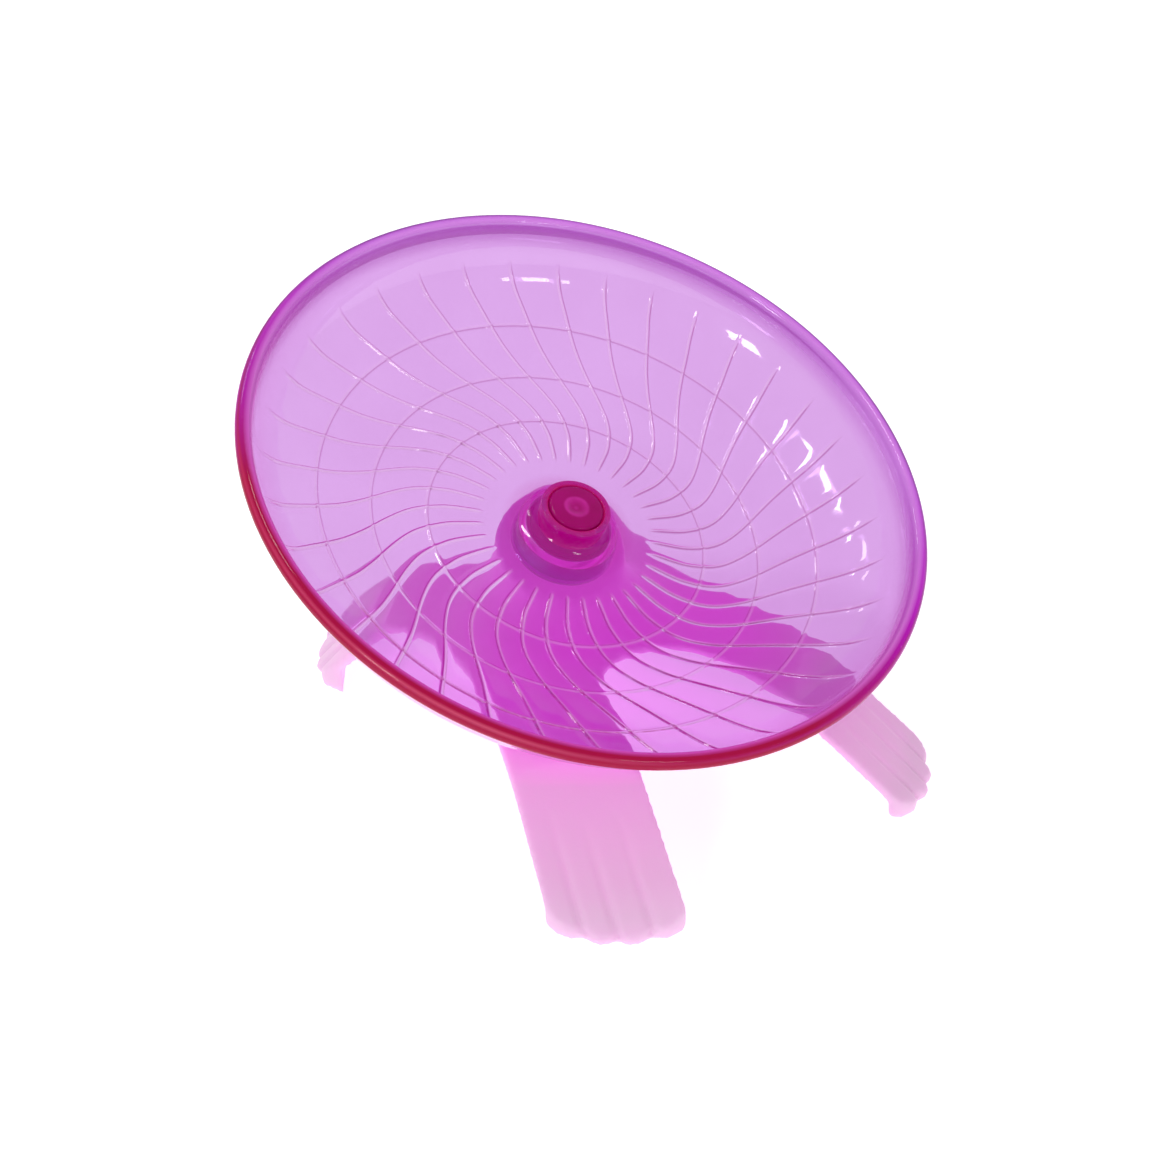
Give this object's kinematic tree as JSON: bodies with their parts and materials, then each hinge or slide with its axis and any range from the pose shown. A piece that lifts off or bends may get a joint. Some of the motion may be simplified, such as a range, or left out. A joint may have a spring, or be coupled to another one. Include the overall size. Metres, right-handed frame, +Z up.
{
  "type": "flying saucer wheel",
  "caption": "Small-pet running wheel: a clear tilted saucer with spiral ribs and a hub cap, spinning on a ball bearing over a low moulded stand with scalloped toes.",
  "frame": {"origin": "on the ground under the centre of the lip's ring, midway between the stand's left and right feet", "axes": "+Z up; -Y towards the saucer's low side, the front; +X to the right seen from the front"},
  "size_m": [0.1788, 0.164, 0.121],
  "materials": {
    "clear_violet_plastic": "clear polished tinted polystyrene",
    "deep_magenta_plastic": "glossy, moulded with a small dimple",
    "frosted_pink_plastic": "translucent, lightly frosted",
    "bearing_steel": "ground and polished",
    "zinc_steel": "zinc plated",
    "white_nylon": "natural nylon"
  },
  "bodies": {
    "stand_body": {"stand": "frosted_pink_plastic", "spindle": "bearing_steel", "bearing_inner_ring": "bearing_steel", "retaining_washer": "zinc_steel", "retaining_screw": "zinc_steel"},
    "saucer_body": {"saucer": "clear_violet_plastic", "hub_cap": "deep_magenta_plastic", "bearing_outer_ring": "bearing_steel", "bearing_shield_top": "zinc_steel", "bearing_shield_bottom": "zinc_steel"},
    "cage_body": {"bearing_cage": "white_nylon", "bearing_ball_1": "bearing_steel", "bearing_ball_2": "bearing_steel", "bearing_ball_3": "bearing_steel", "bearing_ball_4": "bearing_steel", "bearing_ball_5": "bearing_steel", "bearing_ball_6": "bearing_steel", "bearing_ball_7": "bearing_steel"}
  },
  "joints": [
    {"name": "saucer_spin", "type": "hinge", "parent": "stand_body", "child": "saucer_body", "pos_m": [0, 0, 0.0786], "axis": [0, -0.4617, 0.887], "continuous": true},
    {"name": "cage_spin", "type": "hinge", "parent": "stand_body", "child": "cage_body", "pos_m": [0, 0, 0.0786], "axis": [0, -0.4617, 0.887], "continuous": true}
  ],
  "couplings": [
    {"joint": "cage_spin", "follows": "saucer_spin", "ratio": 0.6323}
  ]
}
